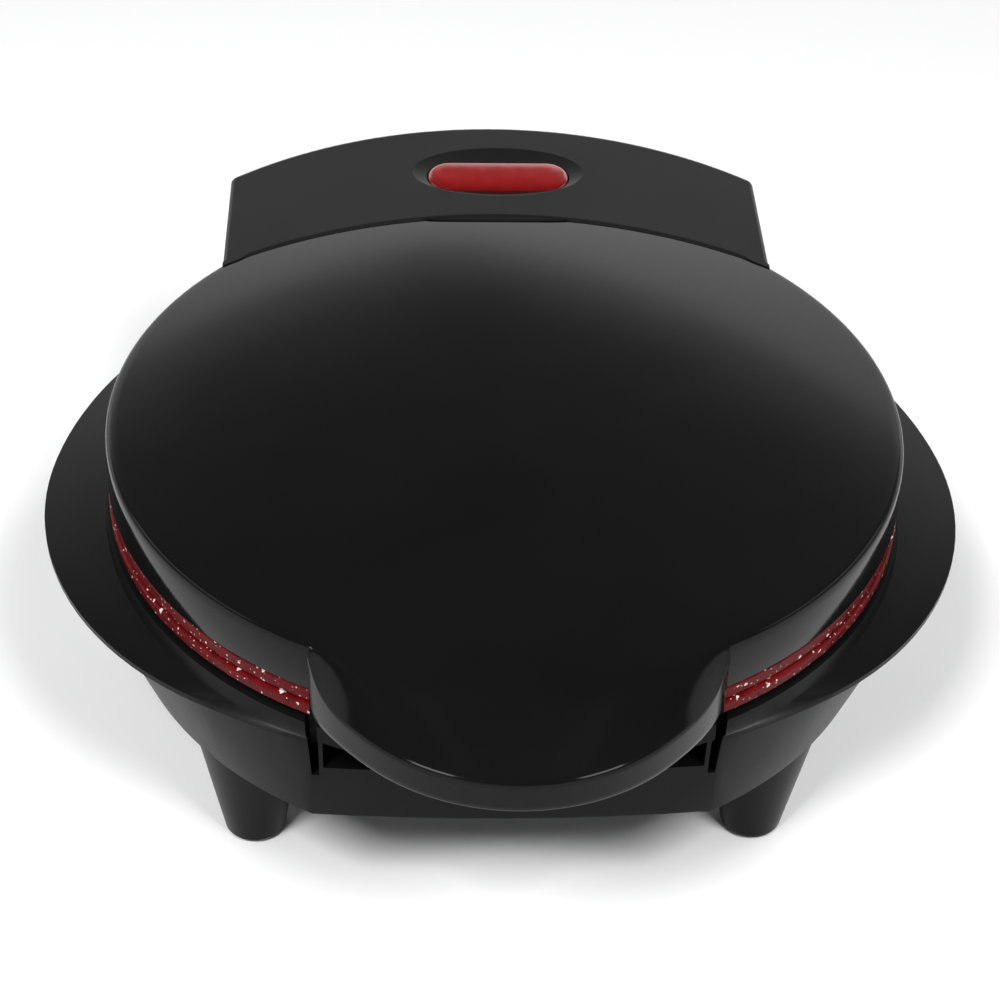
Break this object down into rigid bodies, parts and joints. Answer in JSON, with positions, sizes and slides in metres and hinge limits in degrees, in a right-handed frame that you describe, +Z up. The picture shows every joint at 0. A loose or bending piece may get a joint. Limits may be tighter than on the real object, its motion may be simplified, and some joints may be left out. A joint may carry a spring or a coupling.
{
  "type": "electric omelette maker",
  "caption": "Round electric omelette maker with a glossy black hinged lid, red speckled half-moon cooking plates, a thumb tongue, a red indicator lens and moulded legs.",
  "frame": {"origin": "centre of the object's bounding box at table level, under the pads", "axes": "+Z up, -Y towards the thumb tongue at the front, +X to the right seen from the front"},
  "size_m": [0.2324, 0.2478, 0.0954],
  "materials": {
    "gloss_black": "high-gloss moulded black plastic",
    "satin_black": "finely textured black plastic with a low sheen",
    "red_lens": "clear red moulded lens",
    "natural_plastic": "off-white heat-resistant plastic",
    "lamp_glass": "clear glass neon lamp",
    "red_coating": "cast aluminium with a dark red non-stick coating and pale irregular specks",
    "plated_steel": "zinc-plated sheet steel",
    "element_steel": "dull grey sheathed heating tube",
    "screw_steel": "zinc-plated steel",
    "pin_steel": "plain steel pin",
    "bush_black": "black flexible bush",
    "foot_rubber": "dark grey rubber"
  },
  "bodies": {
    "base": {"base_housing": "satin_black", "lower_cooking_plate": "red_coating", "lower_heating_element": "element_steel", "lower_element_clips": "plated_steel", "lower_heat_shield": "plated_steel", "lower_plate_screws": "screw_steel", "lower_clip_screws": "screw_steel", "thermostat": "natural_plastic", "thermal_fuse": "plated_steel", "terminal_block": "natural_plastic", "cord_bush": "bush_black", "bottom_cover": "plated_steel", "bottom_screws": "screw_steel", "legs": "satin_black", "foot_pads": "foot_rubber", "hinge_pins": "pin_steel"},
    "lid": {"lid_cover": "gloss_black", "upper_housing": "satin_black", "hinge_cover": "satin_black", "indicator_lens": "red_lens", "lamp_holder": "natural_plastic", "indicator_lamp": "lamp_glass", "upper_cooking_plate": "red_coating", "upper_mounting_ring": "plated_steel", "upper_heating_element": "element_steel", "upper_element_clips": "plated_steel", "upper_heat_shield": "plated_steel", "upper_housing_screws": "screw_steel", "upper_plate_screws": "screw_steel", "upper_clip_screws": "screw_steel", "hinge_cover_screws": "screw_steel"}
  },
  "joints": [
    {"name": "lid_hinge", "type": "hinge", "parent": "base", "child": "lid", "pos_m": [0, 0.0963, 0.0694], "axis": [-1, 0, 0], "range_deg": [0, 100]}
  ]
}
